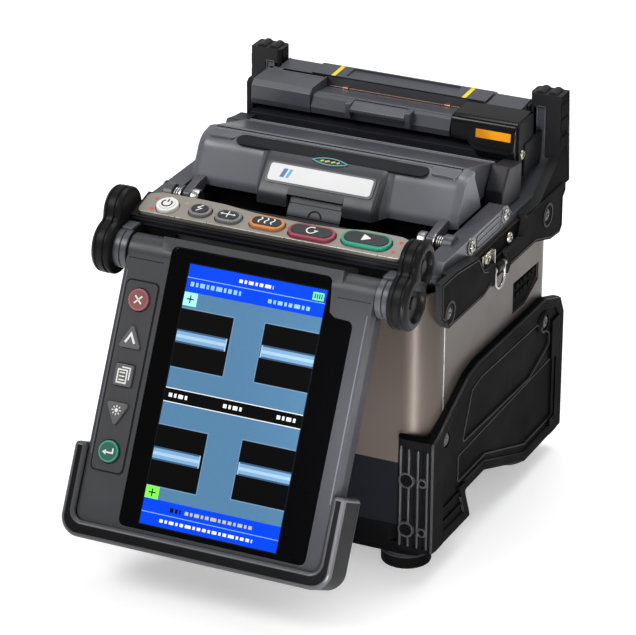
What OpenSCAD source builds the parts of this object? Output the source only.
/* [Overall] */
// Half width of the case over its painted panels
case_half = 68; // [66:0.5:70]
// Front face of the case, measured back from the centre of the base
front_y = -62; // [-64:0.5:-60]
// Rear face of the case
rear_y = 62; // [60:0.5:64]
// Height of the rubber feet
foot_h = 7; // [5:0.5:9]
// Top of the narrow base tray
tray_top = 20; // [18:0.5:22]
// Seam between the dark lower case and the painted panels
case_seam = 47; // [45:0.5:50]
// Top of the painted panels
panel_top = 118; // [114:0.5:119]
// Wall thickness of the painted panels
wall = 2.2; // [1.6:0.1:3]
// Shift that puts the origin under the middle of the object with its monitor down
centre_shift = 29.8; // [20:0.1:40]

/* [Monitor] */
// Distance of the monitor hinge axis in front of the base centre
hinge_y = -74; // [-75:0.5:-73]
// Height of the monitor hinge axis
hinge_z = 121.5; // [120:0.5:123]
// Lean of the monitor from vertical at rest, degrees
lean = 26.6; // [20:0.1:32]
// Half width of the monitor bezel
bezel_half = 52; // [51:0.5:53]
// Distance from the hinge axis down to the lower edge of the bezel
bezel_drop = 106; // [104:0.5:108]
// Radius of the bezel's rolled upper edge around the hinge axis
roll_r = 6.8; // [6.4:0.1:7]
// Width of the lit area of the display
lcd_w = 57.8; // [56:0.1:59]
// Height of the lit area of the display
lcd_h = 101; // [99:0.1:102]
// Travel of the monitor keys
key_travel = 0.6; // [0.4:0.1:0.8]

/* [Controls] */
// Front edge of the control plate
plate_y = -65.8; // [-66:0.1:-65]
// Height of the front edge of the control plate
plate_z = 133.9; // [133:0.1:135]
// Slope of the control plate, degrees
plate_slope = 14; // [12:0.5:16]
// Half width of the control plate
plate_half = 56; // [54:0.5:57]
// Travel of the plate buttons
button_travel = 0.8; // [0.5:0.1:1]

/* [Top] */
// Height of the windshield's front pivot
shield_z = 126; // [125:0.5:128]
// Height of the windshield's rear pivot
shield_rear_z = 130.5; // [129:0.5:131]
// Height of the heater lid's hinge axis
lid_z = 148.3; // [147.5:0.1:149]
// Inner half distance between the side frames
frame_gap = 58.3; // [58:0.1:59]

/* [Hidden] */
$fn = 48;
fit = 0.15;
shield_pivot = [-27.5, shield_z];
shield_rear_pivot = [31, shield_rear_z];
lid_pivot = [68.6, lid_z];
screw_r = 1.4;
skirt_half = 54;
foot_xy = [54, 50];
foot_r = 10;
battery = [-36, 36, 2, 22.6, 44];
guard_face = 71.7;
guard_screws = [[-53.9, 56.9], [48.1, 65]];
rail_screws = [[-52, 109.5], [48.1, 112.1]];
frame_screws = [[-20.4, 124.2], [13.9, 124.4]];
ring_pin = [69.6, 108.4];
button_x = [-45.2, -31.3, -18.9, -2.6, 16.6, 38.8];
button_up = [6.2, 6.8, 6.2, 6.6, 6.0, 7.6];
button_w = [9, 9.4, 11, 14.5, 19.5, 20.5];
button_h = [9, 7.4, 7.4, 7.2, 8.2, 9];
key_x = -43;
key_up = [-18.8, -33.7, -48.3, -62.9, -78.1];
clamp_x = 27;
clamp_pivot = [17.2, 126.8];
board_z = 50;

// ---- placing and shaping helpers ----

// machine coordinates to the part's own frame
module placed() translate([0, centre_shift, 0]) children();

// a profile drawn in (y, z), extruded along +X from x0
module across(x0, w) translate([x0, 0, 0]) rotate([90, 0, 90]) linear_extrude(w) children();

// a plan drawn in (x, y), extruded upwards from z0
module upright(z0, h) translate([0, 0, z0]) linear_extrude(h) children();

// a front view drawn in (x, z), extruded back from y0
module facing(y0, d) translate([0, y0 + d, 0]) rotate([90, 0, 0]) linear_extrude(d) children();

// a rounded rectangle between two corners
module box2(x0, x1, y0, y1, r = 0.01)
    translate([(x0 + x1) / 2, (y0 + y1) / 2])
        offset(r) square([x1 - x0 - 2 * r, y1 - y0 - 2 * r], center = true);

// a plain rectangle between two corners
module rect2(x0, x1, y0, y1) translate([x0, y0]) square([x1 - x0, y1 - y0]);

// an outline with its corners rounded
module soft(r) offset(r) offset(delta = -r) children();

// the same thing on both sides of the machine
module both_sides() {
    children();
    mirror([1, 0, 0]) children();
}

// left-hand copy of a right-hand piece
module left_hand() mirror([1, 0, 0]) children();

// a round bar along X
module bar_x(x0, w, r) translate([x0, 0, 0]) rotate([0, 90, 0]) cylinder(h = w, r = r);

// monitor coordinates: x, up the screen, out of the screen, from the hinge axis
module on_screen() translate([0, hinge_y, hinge_z]) rotate([90 - lean, 0, 0]) children();

// control plate coordinates: x, up the slope, out of the plate
module on_plate() translate([0, plate_y, plate_z]) rotate([plate_slope, 0, 0]) children();

// ---- case ----

module tray_plan(inset = 0) {
    box2(-skirt_half + inset, skirt_half - inset, front_y + 1.3 + inset, rear_y - 1.3 - inset, 5);
}

module base_tray() color("#17181b") placed() difference() {
    union() {
        upright(foot_h, tray_top - foot_h) tray_plan();
        for (sx = [-1, 1], sy = [-1, 1])
            translate([sx * foot_xy[0], sy * foot_xy[1] - 0.6, foot_h])
                linear_extrude(5) box2(-10.5, 10.5, -10, 10, 6);
    }
    difference() {
        upright(foot_h + 2.6, tray_top) tray_plan(2.4);
        cylinder(h = foot_h + 8, r = 9);
    }
    translate([0, 0, foot_h - 1]) cylinder(h = 12, r = 6);
}

module tripod_insert() color("#b08d57") placed() translate([0, 0, foot_h]) difference() {
    cylinder(h = 8, r = 6 - 0.05);
    translate([0, 0, -1]) cylinder(h = 7.5, r = 2.65);
}

module feet() color("#0d0d0e") placed()
    for (sx = [-1, 1], sy = [-1, 1])
        translate([sx * foot_xy[0], sy * foot_xy[1] - 0.6, 0]) {
            cylinder(h = foot_h - 1.5, r = foot_r);
            translate([0, 0, foot_h - 1.5]) cylinder(h = 1.5, r = foot_r - 1.2);
        }

module case_plan(inset = 0) {
    box2(-case_half + inset, case_half - inset, front_y + inset, rear_y - inset, 12 - inset);
}

module lower_case() color("#1d2129") placed() {
    difference() {
        upright(tray_top, case_seam - tray_top) case_plan(0.3);
        upright(tray_top + 2.2, case_seam) case_plan(4.2);
        upright(tray_top - 1, 4) box2(-51, 51, front_y + 6, -8, 4);
        translate([battery[0] - 0.4, 40, battery[3] - 0.3])
            cube([battery[1] - battery[0] + 0.8, 30, battery[4] - battery[3] + 0.7]);
        // chamfer along both sides, behind the arch of the guards
        both_sides() facing(-80, 160) polygon([[64, 19], [64, 20], [67.8, 23.5], [75, 23.5],
            [75, 19]]);
    }
    // posts under the main board
    for (sx = [-1, 1], sy = [-1, 1]) translate([sx * 56, sy * 44, tray_top + 2])
        cylinder(h = board_z - tray_top - 2, r = 3);
}

module screw_holes(list) for (p = list) translate([0, p[0], p[1]]) bar_x(60, 20, screw_r + 0.2);

module front_shell() color("#8a8178") placed() difference() {
    upright(case_seam + 0.1, panel_top - case_seam - 0.1) case_plan();
    upright(case_seam - 1, 80) case_plan(wall);
    translate([-80, -49.8, case_seam - 1]) cube([160, 140, 80]);
    both_sides() screw_holes(guard_screws);
    both_sides() screw_holes(rail_screws);
}

badge_outline = [[20, 79.2], [33, 78.8], [47.2, 84], [47.2, 91.6], [20, 92.6]];

module side_panel() difference() {
    upright(case_seam + 0.1, panel_top - case_seam - 0.1) case_plan();
    upright(case_seam - 1, 80) case_plan(wall);
    translate([-80, front_y - 5, case_seam - 1]) cube([160, -49.6 - front_y + 5, 80]);
    translate([-80, -80, case_seam - 1]) cube([136.2, 160, 80]);
    across(case_half - 0.9, 2) polygon(badge_outline);
    screw_holes(guard_screws);
    screw_holes(rail_screws);
}

module side_panel_right() color("#8a8178") placed() side_panel();

module side_panel_left() color("#8a8178") placed() left_hand() side_panel();

module rear_panel() color("#1d2129") placed() difference() {
    facing(rear_y - wall, wall) rect2(-56, 56, case_seam + 0.1, panel_top);
    for (i = [0:7]) facing(rear_y - 5, 8) box2(-46, -14, 64 + 4.5 * i, 66 + 4.5 * i, 0.9);
    translate([28, rear_y - 5, 70]) rotate([-90, 0, 0]) cylinder(h = 8, r = 4.6);
    facing(rear_y - 5, 8) box2(8, 18, 66.4, 73.6, 1);
}

// ---- rubber armour ----

guard_outline = [[-66.8, 12.6], [-28, 12.2], [-34, 26], [-15, 26], [28.6, 10.2], [68.5, 10.2],
    [68.5, 62], [64.3, 70], [48, 75.4], [-22, 76.8], [-32, 75.2], [-51.4, 66.5], [-62, 61],
    [-66.8, 60]];

module guard() difference() {
    union() {
        across(case_half + 0.2, guard_face - 1 - case_half - 0.2) soft(1.2)
            polygon(guard_outline);
        // raised border, screw bosses and ribs of the foot
        across(guard_face - 1.5, 1.5) difference() {
            offset(delta = -0.5) soft(1.2) polygon(guard_outline);
            offset(delta = -3.9) soft(1.2) polygon(guard_outline);
        }
        for (p = guard_screws) translate([guard_face - 1.5, p[0], p[1]]) bar_x(0, 1.5, 4.6);
        across(guard_face - 1.5, 1.2) for (z = [20.4, 26.4]) rect2(-60, -35, z, z + 1.5);
        // corner columns that wrap the front and the rear of the case
        upright(12.6, 47.6) difference() {
            box2(55.6, guard_face, -66.8, -40, 4);
            rect2(0, case_half + 0.2, front_y - 0.2, 0);
            rect2(0, 80, -56, 0);
        }
        upright(10.2, 52) difference() {
            box2(58, guard_face, 40, 68.5, 5);
            rect2(0, case_half + 0.2, 0, rear_y + 0.2);
            rect2(0, 80, 0, 56);
        }
    }
    // recessed side panel
    across(guard_face - 1.6, 2) soft(1.5) polygon([[-36, 47.5], [34, 45.5], [55, 52.5], [55, 57],
        [41, 66.4], [-18, 68.4], [-27, 66.6]]);
    // lower recess
    across(guard_face - 1.6, 2) soft(1.5)
        polygon([[-40, 43.5], [-40, 32], [-12, 32], [30, 17.5], [61, 17.5], [61, 45]]);
    // column grooves
    for (x = [59.6, 63.4, 67.2]) translate([x, -68, 14.5]) cube([1.5, 2.1, 43]);
    screw_holes(guard_screws);
    for (p = guard_screws) translate([guard_face - 1.2, p[0], p[1]]) bar_x(0, 3, 3.2);
    for (p = guard_screws) translate([case_half, p[0], p[1]]) bar_x(0, 5, screw_r + 0.2);
}

module guard_right() color("#101113") placed() guard();

module guard_left() color("#101113") placed() left_hand() guard();

rail_face = 71;
rail_outline = [[-60, 110], [-53, 103.6], [-18, 103.2], [-11, 105], [-9, 103.4], [7, 103.4],
    [9, 105.6], [35, 105.4], [52, 100.2], [62, 99.4], [64.4, 101.6], [64.4, 114], [67, 116],
    [67, 119.6], [26, 119.6], [22, 112.6], [-14, 112.6], [-18, 114], [-24, 121.6], [-46, 124.4],
    [-60, 124.4]];
ear_outline = [[26.4, 118.2], [27.5, 120.4], [40, 119.8], [62, 129.4], [64, 132], [64, 158.4],
    [73, 158.4], [73, 118.2]];

module rail() difference() {
    union() {
        difference() {
            across(case_half + 0.2, rail_face - case_half - 0.2) soft(0.8) polygon(rail_outline);
            // room for the strap ring
            translate([60, -6.6, 100]) cube([20, 12.2, 30]);
        }
        // bridge behind the ring
        across(case_half + 0.2, 0.8) rect2(-8, 7, 103.6, 112.4);
        // upper part, over the side frame
        across(66.2, rail_face - 66.2) polygon([[-50, 118.6], [-50, 124.4], [-46, 124.4],
            [-24, 121.6], [-21.6, 118.6]]);
        across(66.2, 4) polygon(ear_outline);
        // ear
        difference() {
            upright(129.4, 29) box2(55.5, 70.2, 64, 73, 2);
            translate([57.2, 60, 120]) cube([5.6, 11.8, 32.4]);
            translate([40, 60, 125]) cube([17, 20, 5]);
        }
        for (x = [59.5, 66]) translate([x, 65, 157.2]) rotate([-90, 0, 0]) cylinder(h = 7, r = 2.4);
        // ribs on the outside of the ear
        for (z = [134, 142, 150]) translate([69.8, 64.6, z]) cube([1.2, 7.6, 4.6]);
    }
    screw_holes(rail_screws);
    for (p = rail_screws) translate([rail_face - 1.2, p[0], p[1]]) bar_x(0, 3, 3.2);
    for (p = rail_screws) translate([case_half, p[0], p[1]]) bar_x(0, 5, screw_r + 0.2);
    translate([ring_pin[0], -9.2, ring_pin[1]]) rotate([-90, 0, 0]) cylinder(h = 17.4, r = 1.16);
}

module rail_right() color("#131416") placed() rail();

module rail_left() color("#131416") placed() left_hand() rail();

module screw(p, face) translate([0, p[0], p[1]]) {
    bar_x(face - 1.15, 1, 2.9);
    bar_x(62, face - 1.15 - 62, screw_r);
}

module screws() color("#b9b6ad") placed() both_sides() {
    for (p = guard_screws) screw(p, guard_face);
    for (p = rail_screws) screw(p, rail_face);
    for (p = frame_screws) translate([0, p[0], p[1]]) bar_x(66.05, 1.2, 2.6);
}

// ---- side frames and deck ----

frame_outline = [[-50, 118.2], [-50, 122.6], [-46, 127.4], [16, 127.4], [22, 121.8], [47, 121.2],
    [62.6, 128.2], [63.7, 130], [63.7, 118.2]];
frame_ear = [[63.7, 118.2], [63.7, 130], [64.4, 152], [71.4, 152], [71.4, 118.2]];

module side_frame() difference() {
    union() {
        across(frame_gap, 66 - frame_gap) polygon(frame_outline);
        across(frame_gap, 62.5 - frame_gap) polygon(frame_ear);
        // lug for the windshield pivot
        translate([0, shield_pivot[0], shield_pivot[1]]) bar_x(frame_gap, 3.7, 4.4);
    }
    translate([0, shield_pivot[0], shield_pivot[1]]) bar_x(50, 11.8, 2.05);
}

module side_frame_right() color("#3a3d44") placed() side_frame();

module side_frame_left() color("#3a3d44") placed() left_hand() side_frame();

module top_deck() color("#22242a") placed() difference() {
    union() {
        upright(panel_top + 0.2, 3) box2(-58.1, 58.1, -50.3, 38.6);
        // rim round the splice chamber
        upright(panel_top + 0.2, 8.4) difference() {
            box2(-50, 50, -13, 28, 3);
            box2(-47.5, 47.5, -10.6, 25.6, 2);
        }
        // raised latch tab in the notch of the windshield
        across(-11.4, 22.8) polygon([[-23.5, 121], [-23.5, 124.3], [-19.4, 131.6],
            [-18.4, 131.6], [-18.4, 121]]);
    }
    upright(panel_top, 6) box2(-36, 36, -9, 24, 2);
}

// ---- controls ----

housing_half = 58.2;

module control_housing() color("#1b1d22") placed() difference() {
    union() {
        difference() {
            across(-housing_half, 2 * housing_half) polygon([[-66, 121], [-66, 140], [-50.6, 140],
                [-50.6, panel_top + 0.2], [-63, panel_top + 0.2]]);
            on_plate() translate([-70, -20, -1.6]) cube([140, 60, 30]);
        }
        both_sides() {
            // arm and stub that carry the monitor hinge
            across(bezel_half + 0.3, housing_half - bezel_half - 0.3)
                polygon([[hinge_y, hinge_z], [hinge_y, hinge_z + 8.6], [-66, hinge_z + 8.6],
                    [-66, hinge_z - 6]]);
            translate([0, hinge_y, hinge_z])
                bar_x(bezel_half + 0.3, housing_half - bezel_half - 0.3, 7.8);
        }
    }
    // hollow for the key board
    across(-54, 108) polygon([[-61.4, 121], [-61.4, 130], [-53, 132], [-53, 117], [-60, 117]]);
    both_sides() translate([0, hinge_y, hinge_z]) bar_x(40, 30, 2.52);
    // room for the monitor's upper edge as it turns
    translate([0, hinge_y, hinge_z]) bar_x(-38.8, 77.6, 10.1);
    both_sides() translate([0, hinge_y, hinge_z]) bar_x(38, bezel_half + 0.3 - 38, 8.6);
    for (i = [0:5]) on_plate() translate([button_x[i], button_up[i], -5.4])
        linear_extrude(8) button_face(i, 0.3);
}

module button_face(i, grow = 0) {
    w = button_w[i] + 2 * grow;
    h = button_h[i] + 2 * grow;
    offset(h / 2 - 0.01) square([w - h + 0.02, 0.02], center = true);
}

module control_plate() color("#a39c92") placed() on_plate() difference() {
    translate([0, 0, -1.6]) linear_extrude(1.6) soft(2.6) polygon([[-plate_half, 0.4],
        [plate_half, 0.4], [plate_half, 12.4], [plate_half - 5, 14.2], [44, 14.4], [36, 14.4],
        [27, 12.6], [12, 11.6], [-10, 12.2], [-24, 14], [-36, 14.4], [-plate_half + 5, 14.2],
        [-plate_half, 12.4]]);
    for (i = [0:5]) translate([button_x[i], button_up[i], -3]) linear_extrude(6)
        button_face(i, 0.3);
}

module button(i) placed() on_plate() translate([button_x[i], button_up[i], 0]) {
    translate([0, 0, -3.2 - button_travel]) linear_extrude(4.4 + button_travel) button_face(i);
    translate([0, 0, 1.2]) linear_extrude(0.6) offset(delta = -0.6) button_face(i);
}

module button_power() color("#d8d8d4") button(0);

module button_arc() color("#33353a") button(1);

module button_axis() color("#33353a") button(2);

module button_heat() color("#c26a35") button(3);

module button_reset() color("#a23a4e") button(4);

module button_set() color("#2f9c80") button(5);

boot_low_r = 11;
boot_high = [-65, 133];
boot_high_r = 9.7;

module hinge_boots() color("#141416") placed() both_sides() difference() {
    across(housing_half, 8.5) offset(-2) offset(2) {
        translate([hinge_y, hinge_z]) circle(boot_low_r);
        translate(boot_high) circle(boot_high_r);
    }
    across(housing_half + 7.3, 3) {
        translate([hinge_y, hinge_z]) circle(boot_low_r - 3.6);
        translate(boot_high) circle(boot_high_r - 3.4);
    }
}

module hinge_pins() color("#9a9a9c") placed() both_sides()
    translate([0, hinge_y, hinge_z]) bar_x(46, housing_half - 46, 2.5);

// ---- windshield ----

shield_half = 57.6;
shield_front = [[-15.4, 127.2], [-15.4, 129], [-8.5, 142.9], [-5.5, 145.4], [1.4, 146.5],
    [10.6, 127.2]];
shield_front_inner = [[-13.2, 127], [-13.2, 129.4], [-6.9, 141.6], [-4.6, 143.4], [2, 144.6],
    [12, 144.6], [12, 127]];
shield_nose = [[-22.8, 127.2], [-22.8, 131.6], [-20.6, 134.3], [-12.6, 142.8], [-8.5, 144.6],
    [-5.5, 145.6], [-5.5, 127.2]];
shield_nose_inner = [[-20.8, 127], [-20.8, 131], [-18.8, 133.2], [-11, 141.2], [-5.5, 143],
    [-5, 127]];

module windshield_front() color("#3d4049") placed() {
    difference() {
        union() {
            across(-shield_half, 2 * shield_half) soft(0.4) polygon(shield_front);
            across(-25.5, 51) soft(0.4) polygon(shield_nose);
        }
        across(-shield_half + 2, 2 * shield_half - 4) polygon(shield_front_inner);
        across(-23.5, 47) polygon(shield_nose_inner);
        // notch for the latch tab
        translate([-12, -24, 126]) cube([24, 8.2, 6.6]);
        // seat of the name plate
        on_nose() translate([0, 0, -0.6]) linear_extrude(3) box2(-22.5, 22.5, -3.9, 3.9, 1.5);
    }
    // arms and pins of the front pivot
    both_sides() {
        difference() {
            union() {
                across(50.6, 3.8) polygon([[-27.5, 121.9], [-29, 129.6], [-14.6, 131],
                    [-14.6, 127.2], [-20, 124]]);
                translate([0, shield_pivot[0], shield_pivot[1]]) bar_x(50.6, 3.8, 4.1);
            }
            across(-shield_half, 2 * shield_half) polygon(shield_front);
        }
        translate([0, shield_pivot[0], shield_pivot[1]]) bar_x(51, 10.4, 2);
    }
}

// frame on the sloping face of the windshield's nose
module on_nose() translate([0, -16.6, 138.55]) rotate([46.7, 0, 0]) children();

module name_plate() color("#e8e8e6") placed() on_nose() translate([0, 0, -0.6])
    linear_extrude(0.9) box2(-22.2, 22.2, -3.7, 3.7, 1.3);

shield_rear = [[1.8, 146.4], [27, 139.4], [32.8, 137.2], [34.6, 134], [34.6, 127.2], [11, 127.2]];
shield_rear_inner = [[0, 145], [26.4, 137.3], [31.4, 135.4], [32.4, 133], [32.4, 127], [0, 127]];
rear_half = 54.2;

module windshield_rear() color("#383b43") placed() {
    difference() {
        across(-rear_half, 2 * rear_half) soft(0.4) polygon(shield_rear);
        across(-rear_half + 2, 2 * rear_half - 4) polygon(shield_rear_inner);
    }
    both_sides() translate([0, shield_rear_pivot[0], shield_rear_pivot[1]])
        bar_x(rear_half, 2.6, 1.5);
}

module windshield_springs() color("#8d8f93") placed() both_sides()
    translate([55.4, shield_pivot[0], shield_pivot[1]]) rotate([0, 90, 0])
        for (i = [0:2]) translate([0, 0, 1.15 * i])
            rotate_extrude() translate([3, 0]) circle(0.5, $fn = 16);

// ---- heater ----

heater_half = 57.4;
cover_in = 31;
heater_wall = [[38.8, 118.5], [38.8, 138.4], [45.6, 139.4], [45.6, 141.4], [63.2, 141.4],
    [63.2, 118.5]];

module heater_base() color("#2b2d33") placed() {
    difference() {
        union() {
            across(-heater_half, 2 * heater_half) polygon(heater_wall);
            // shelf under the rear hinge
            across(-55.2, 110.4) polygon([[63.2, 126], [63.2, 143.6], [72.6, 143.6], [72.6, 140]]);
            // lugs of the rear windshield pivot
            both_sides() across(rear_half + 0.5, 3) polygon([[27, 122], [27, 134.4], [39, 134.4],
                [39, 122]]);
            // lugs that hold the lid pin
            both_sides() across(54.3, 0.9) polygon([[64, 143], [64, 151], [72, 151], [72, 143]]);
        }
        translate([0, lid_pivot[0], lid_pivot[1]]) bar_x(-60, 120, 1.2);
        both_sides() translate([0, shield_rear_pivot[0], shield_rear_pivot[1]])
            bar_x(50, 10, 1.56);
        // trough for the protection sleeve
        across(-38, 76) polygon([[51, 136.4], [50, 142], [57, 142], [56, 136.4]]);
        // light pocket under the trough
        across(-50, 100) polygon([[41.5, 117], [41.5, 134], [60.5, 134], [60.5, 117]]);
    }
    // hinge pin of the lid
    translate([0, lid_pivot[0], lid_pivot[1]]) bar_x(-55.2, 110.4, 1.2);
}

cover_profile = [[40.2, 141.5], [39.6, 144], [39.8, 149.6], [42, 151.8], [56.8, 151.8],
    [56.8, 146.2], [60, 145.4], [60, 141.5]];

module heater_cover_left() color("#34363d") placed()
    across(-heater_half, heater_half - cover_in) soft(0.6) polygon(cover_profile);

module heater_cover_right() color("#0a0a0b") placed() {
    across(cover_in, 25) polygon(cover_profile);
    across(42, 14) polygon([[40.4, 142.4], [45.4, 142.4], [45.4, 139.6], [38.6, 138.6],
        [38.6, 135.4], [37.2, 135.4], [37.2, 139.6]]);
}

lid_half = 38.4;

module lid_front_profile() polygon([[40.2, 141.9], [39.8, 144.4], [41.6, 148.6], [43, 149.4],
    [57.4, 147.6], [57.4, 145], [56, 141.9]]);

module heater_lid() color("#30323a") placed() difference() {
    union() {
        across(-lid_half, 2 * lid_half) {
            polygon([[57.4, 147.4], [57.4, 152], [68.6, 152.4], [68.6, 146], [61, 146]]);
            translate(lid_pivot) circle(4.1);
        }
        across(-cover_in + 0.4, 2 * cover_in - 0.8) lid_front_profile();
    }
    translate([0, lid_pivot[0], lid_pivot[1]]) bar_x(-60, 120, 1.26);
    // recessed panel in the top
    upright(151.6, 2) box2(-24, 24, 59.4, 68.4, 1);
}

module heater_handle() color("#24262b") placed() difference() {
    union() {
        across(-12, 24) polygon([[37.2, 146.2], [37.2, 147.6], [42.6, 149.4], [42.6, 146.4]]);
        both_sides() across(12, 2.2) polygon([[37.6, 143.2], [37, 147], [37.6, 149.6],
            [42.6, 150], [42.6, 143.2]]);
    }
    across(-20, 40) lid_front_profile();
}

module heater_clamps() color("#2a2c32") placed() both_sides() difference() {
    across(lid_half + 0.5, 54 - lid_half - 0.5) {
        polygon([[57.6, 147.4], [57.6, 151.2], [68.6, 151.8], [68.6, 147.4]]);
        translate(lid_pivot) circle(3.5);
    }
    translate([0, lid_pivot[0], lid_pivot[1]]) bar_x(30, 40, 1.26);
}

// ---- splice stage ----

module splice_block() color("#9c9ea3") placed() {
    difference() {
        union() {
            upright(106, 18) box2(-35, 35, -8, 23.4, 2);
            // flange that hangs it from the deck
            upright(116, panel_top + 0.2 - 116) box2(-41, 41, -13, 28.4, 2);
            // lugs of the fiber clamps
            both_sides() for (x = [clamp_x - 8.6, clamp_x + 5.6]) across(x, 3)
                polygon([[14.9, 124], [14.9, 129], [19.5, 129], [19.5, 124]]);
            // posts of the electrodes
            for (y = [-7.4, 16]) translate([-4, y, 122]) cube([8, 3.4, 5]);
        }
        for (s = [-1, 1]) translate([0, 6, 128]) rotate([s * 135, 0, 0]) cylinder(h = 40, r = 3.2);
        translate([0, 30, 128.2]) rotate([90, 0, 0]) cylinder(h = 60, r = 2.1);
        // slot under the arc
        upright(123, 4) rect2(-3, 3, -3.8, 15.8);
    }
    both_sides() translate([0, clamp_pivot[0], clamp_pivot[1]]) bar_x(clamp_x - 8.5, 17, 1);
}

module v_grooves() color("#d9d9d6") placed() both_sides() difference() {
    translate([4, 1.5, 124]) cube([9, 9, 4.4]);
    translate([0, 6, 128.6]) rotate([45, 0, 0]) translate([0, -0.7, -0.7]) cube([20, 1.4, 1.4]);
}

module electrodes() color("#c9c4b8") placed() for (s = [-1, 1]) translate([0, 6 + s * 1.4, 128.2])
    rotate([-90 * s, 0, 0]) {
        cylinder(h = 3, r1 = 0.1, r2 = 0.6);
        translate([0, 0, 3]) cylinder(h = 5, r = 0.6);
        translate([0, 0, 8]) cylinder(h = 4.4, r = 2);
    }

module objective_lenses() color("#26282c") placed() for (s = [-1, 1])
    translate([0, 6, 128]) rotate([s * 135, 0, 0]) translate([0, 0, 6.4]) {
        difference() {
            cylinder(h = 12, r = 3.1);
            translate([0, 0, -1]) cylinder(h = 3, r = 2.1);
        }
    }

module fiber_clamp() difference() {
    union() {
        translate([clamp_x - 8.4, -5, 124.4]) cube([16.8, 18.3, 5]);
        across(clamp_x - 5.2, 10.4) polygon([[12, 124.4], [12, 129.4], [17.2, 129.2], [19.4, 127],
            [17.2, 124.5]]);
    }
    translate([0, clamp_pivot[0], clamp_pivot[1]]) bar_x(10, 30, 1.06);
}

module fiber_clamp_right() color("#4a4d55") placed() fiber_clamp();

module fiber_clamp_left() color("#4a4d55") placed() left_hand() fiber_clamp();

// ---- inside the case ----

module main_board() color("#1f5a3a") placed() {
    upright(board_z, 1.6) box2(-62, 62, -52, 52, 3);
    for (p = [[-20, -30, 16, 16, 2], [12, -36, 12, 12, 1.6], [34, -20, 20, 8, 5], [-40, 24, 10, 18, 7]])
        translate([p[0], p[1], 51.6]) cube([p[2], p[3], p[4]]);
}

module power_unit() color("#46484d") placed() {
    translate([-54, -10, 51.6]) cube([26, 30, 22]);
    translate([-50, -4, 73.6]) cube([18, 18, 4]);
}

module shield_motor() color("#76787d") placed() {
    translate([30, 20, 60]) bar_x(0, 22, 8);
    translate([30, 12, 51.6]) cube([22, 16, 3]);
    translate([28.5, 20, 60]) bar_x(-4, 5.5, 3);
}

module rear_sockets() color("#0c0c0d") placed() {
    difference() {
        union() {
            translate([28, 50, 70]) rotate([-90, 0, 0]) cylinder(h = rear_y - 50, r = 4.5);
            facing(50, rear_y - wall - 50) box2(22, 34, 64, 76);
        }
        translate([28, 52, 70]) rotate([-90, 0, 0]) cylinder(h = 20, r = 3);
    }
    translate([28, 51, 70]) rotate([-90, 0, 0]) cylinder(h = 9.6, r = 0.9);
    difference() {
        facing(50, rear_y - wall - 50) box2(6.6, 19.4, 65, 75);
        facing(52, 12) rect2(9.2, 16.8, 67.6, 72.4);
    }
}

module battery_pack() color("#202226") placed() difference() {
    union() {
        translate([battery[0], battery[2], battery[3]])
            cube([battery[1] - battery[0], rear_y + 0.4 - battery[2], battery[4] - battery[3]]);
    }
    // finger groove
    translate([0, rear_y + 2.4, 33]) bar_x(-16, 32, 4);
}

// ---- strap rings ----

ring_w = 9.6;

module strap_ring() color("#c8c9cb") placed() translate([ring_pin[0], -0.5, ring_pin[1]]) {
    rotate([-90, 0, 0]) translate([0, 0, -8]) cylinder(h = 16, r = 1.1);
    // bail that hangs from the pin
    for (sy = [-1, 1]) translate([0.7, sy * ring_w / 2, -4]) cylinder(h = 4, r = 0.9);
    translate([0.7, 0, -4]) rotate([0, 90, 0]) rotate([0, 0, -90]) rotate_extrude(angle = 180)
        translate([ring_w / 2, 0]) circle(0.9, $fn = 24);
}

module strap_ring_right() strap_ring();

module strap_ring_left() mirror([1, 0, 0]) strap_ring();

// ---- monitor ----

glass_outline = [[-33.5, 4], [33.6, 4], [35.2, -9.4], [37.4, -11], [45.4, -11.4], [45.2, -104.6],
    [-33.6, -104.6]];
strip = [-49.4, -36.2, -85.6, -11.8];

module layer(out, d) on_screen() translate([0, 0, out]) linear_extrude(d) children();

module glass_plan(grow = 0) offset(delta = grow) soft(2.5) polygon(glass_outline);

module bezel_plan() box2(-bezel_half, bezel_half, -bezel_drop, 0, 4);

module roll() translate([0, hinge_y, hinge_z]) bar_x(-bezel_half, 2 * bezel_half, roll_r);

module monitor_bezel() color("#4a4c52") placed() difference() {
    union() {
        layer(1, 5.6) bezel_plan();
        roll();
        on_screen() translate([-38, 0, -2]) cube([76, 7, 8.6]);
    }
    layer(0, 12) glass_plan(fit);
    // seat of the display inside the roll
    on_screen() translate([-34, -90, -1]) cube([78, 92, 6.2]);
    layer(5.2, 3) box2(strip[0] - fit, strip[1] + fit, strip[2] - fit, strip[3] + fit, 2.2);
    layer(0.5, 8) translate([key_x - 5.4, strip[2] + 2]) square([10.8, strip[3] - strip[2] - 4]);
    both_sides() translate([0, hinge_y, hinge_z]) bar_x(40, 30, 2.58);
}

module monitor_back() color("#3b3d44") placed() difference() {
    layer(-6.4, 7.3) box2(-bezel_half + 0.6, bezel_half - 0.6, -bezel_drop + 0.6, -7.2, 3.4);
    layer(-4.2, 9) box2(-bezel_half + 3, bezel_half - 3, -bezel_drop + 3, -9.6, 2);
    for (i = [0:5]) layer(-8, 4.2) box2(-20, 20, -70 + 6 * i, -68 + 6 * i, 0.9);
}

module monitor_glass() color("#050506") placed() layer(5.2, 1) glass_plan();

module lcd_panel() color("#2a5cae") placed() layer(1.2, 3.7)
    rect2(3.8 - lcd_w / 2 - 2, 3.8 + lcd_w / 2 + 2, -lcd_h - 2.6, -0.6);

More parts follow.
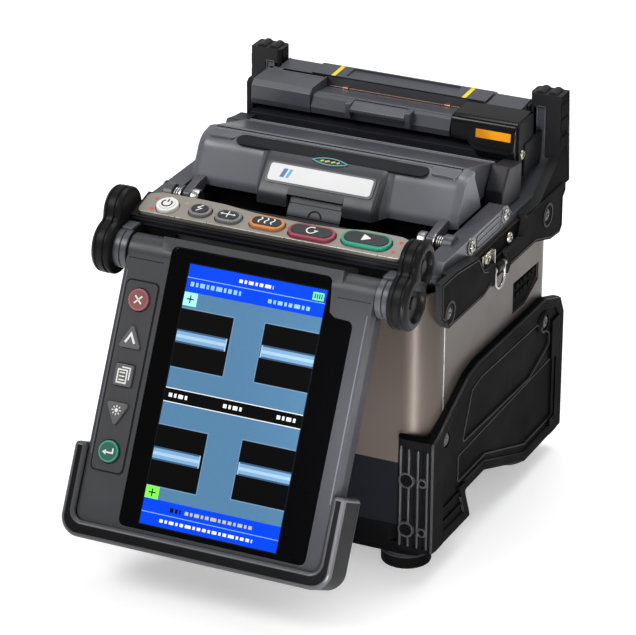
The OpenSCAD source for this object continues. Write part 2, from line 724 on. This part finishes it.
module key_shape(i, grow = 0) {
    if (i == 0 || i == 4) circle(4.4 + grow);
    if (i == 1) offset(0.8 + grow) polygon([[-3.4, -3], [3.4, -3], [0, 3.6]]);
    if (i == 2) offset(0.8 + grow) square([6.2, 7], center = true);
    if (i == 3) offset(0.8 + grow) polygon([[-3.4, 3], [3.4, 3], [0, -3.6]]);
}

module keypad_strip() color("#3c3d42") placed() difference() {
    layer(5.3, 1.7) box2(strip[0], strip[1], strip[2], strip[3], 2);
    for (i = [0:4]) on_screen() translate([key_x, key_up[i], 2]) linear_extrude(8)
        key_shape(i, 0.3);
}

module key(i) placed() on_screen() translate([key_x, key_up[i], 2 + key_travel])
    linear_extrude(6 - key_travel) key_shape(i);

module key_escape() color("#9c4a4f") key(0);

module key_up_arrow() color("#8d8d8f") key(1);

module key_menu() color("#8d8d8f") key(2);

module key_down_arrow() color("#8d8d8f") key(3);

module key_enter() color("#2f8a6c") key(4);

bumper_out = 57.3;

module monitor_bumper() color("#232326") placed() difference() {
    union() {
        difference() {
            layer(-8, 17) box2(-bumper_out, bumper_out, -bezel_drop - 6.8, -76.3, 8);
            layer(-9, 20) translate([-70, -76.3 - 0.1]) square([140, 20]);
            layer(-9, 20) box2(-bezel_half - 0.1, bezel_half + 0.1, -bezel_drop - 0.1, -50, 4);
        }
        layer(-8, 17) translate([-bumper_out, -90]) square([5.2, 13.7]);
        layer(-8, 17) translate([bumper_out - 5.2, -90]) square([5.2, 13.7]);
    }
}

base_tray();
tripod_insert();
feet();
lower_case();
front_shell();
side_panel_left();
side_panel_right();
rear_panel();
guard_left();
guard_right();
rail_left();
rail_right();
screws();
side_frame_left();
side_frame_right();
control_housing();
control_plate();
hinge_boots();
hinge_pins();
top_deck();
windshield_springs();
heater_base();
heater_cover_left();
heater_cover_right();
splice_block();
v_grooves();
electrodes();
objective_lenses();
main_board();
power_unit();
shield_motor();
rear_sockets();
battery_pack();
monitor_bezel();
monitor_back();
monitor_glass();
lcd_panel();
keypad_strip();
monitor_bumper();
key_escape();
key_up_arrow();
key_menu();
key_down_arrow();
key_enter();
button_power();
button_arc();
button_axis();
button_heat();
button_reset();
button_set();
windshield_front();
name_plate();
windshield_rear();
heater_lid();
heater_handle();
heater_clamps();
strap_ring_left();
strap_ring_right();
fiber_clamp_left();
fiber_clamp_right();
